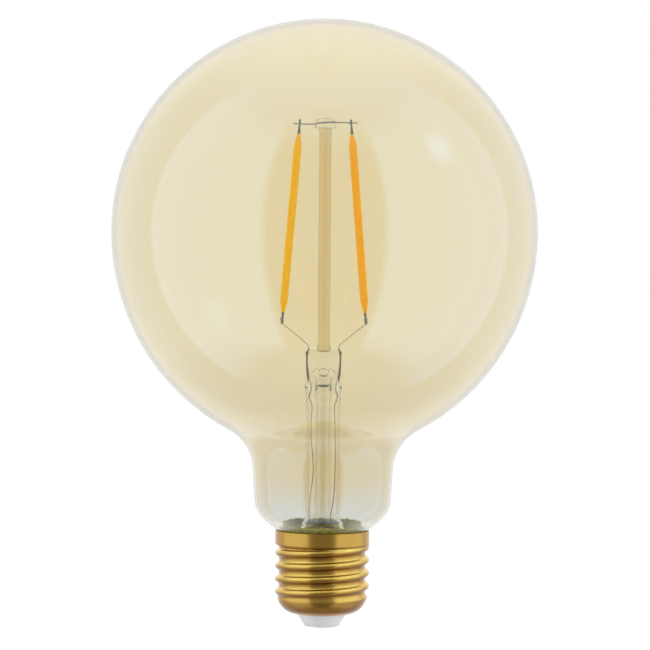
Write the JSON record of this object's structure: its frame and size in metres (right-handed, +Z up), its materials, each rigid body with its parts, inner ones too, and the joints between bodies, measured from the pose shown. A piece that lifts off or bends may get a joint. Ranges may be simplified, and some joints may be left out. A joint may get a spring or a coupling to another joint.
{
  "type": "light bulb",
  "caption": "Large globe filament lamp with a screw cap, a glass stem carrying two upright filaments, and a wireless driver hidden in the cap.",
  "frame": {"origin": "centre of the cap's end contact, on its outer face", "axes": "+Z up the bulb's axis from the contact to the globe's crown, X through the two filaments, -Y the blow-hole side"},
  "size_m": [0.1182, 0.1182, 0.1689],
  "materials": {
    "amber_glass": "thin blown glass with an amber tint",
    "clear_glass": "clear drawn glass",
    "lamp_brass": "satin rolled brass",
    "white_plastic": "moulded, satin",
    "sleeve_plastic": "thin insulating sleeve",
    "cement": "dull basing cement",
    "circuit_board": "solder mask over glass epoxy",
    "black_epoxy": "moulded component body",
    "capacitor_can": "shrink sleeve over a can",
    "ferrite": "pressed ferrite",
    "copper": "drawn or wound copper",
    "resistor_coating": "lacquered",
    "chip_ceramic": "fired ceramic",
    "phosphor_yellow": "silicone with yellow phosphor",
    "phosphor_orange": "silicone with orange phosphor",
    "plated_steel": "nickel-plated wire and strip",
    "led_chip": "sawn crystal",
    "dumet": "red borated copper-clad wire",
    "solder": "bright solder"
  },
  "bodies": {
    "root": {"antenna": "lamp_brass", "basing_cement": "cement", "bridge_rectifier": "black_epoxy", "bridge_wire": "plated_steel", "bulk_capacitor": "capacitor_can", "cap_insulator": "white_plastic", "centre_contact": "lamp_brass", "centre_post": "clear_glass", "chip_capacitors": "chip_ceramic", "chip_resistors": "black_epoxy", "clock_crystal": "plated_steel", "control_chip": "black_epoxy", "driver_chip": "black_epoxy", "driver_sleeve": "sleeve_plastic", "exhaust_tube": "clear_glass", "fusible_resistor": "resistor_coating", "globe_envelope": "amber_glass", "header_pins": "lamp_brass", "inductor_core": "ferrite", "inductor_winding": "copper", "left_dumet_seal": "dumet", "left_filament_bottom_terminal": "plated_steel", "left_filament_chips": "led_chip", "left_filament_phosphor": "phosphor_yellow", "left_filament_substrate": "plated_steel", "left_filament_top_terminal": "plated_steel", "left_lead_wire": "plated_steel", "left_tail_wire": "copper", "live_wire": "copper", "main_board": "circuit_board", "neutral_wire": "copper", "pin_header": "black_epoxy", "post_button": "clear_glass", "right_dumet_seal": "dumet", "right_filament_bottom_terminal": "plated_steel", "right_filament_chips": "led_chip", "right_filament_phosphor": "phosphor_orange", "right_filament_substrate": "plated_steel", "right_filament_top_terminal": "plated_steel", "right_lead_wire": "plated_steel", "right_tail_wire": "copper", "screw_shell": "lamp_brass", "solder_joints": "solder", "stem_flare_tube": "clear_glass", "wireless_board": "circuit_board"}
  },
  "joints": []
}
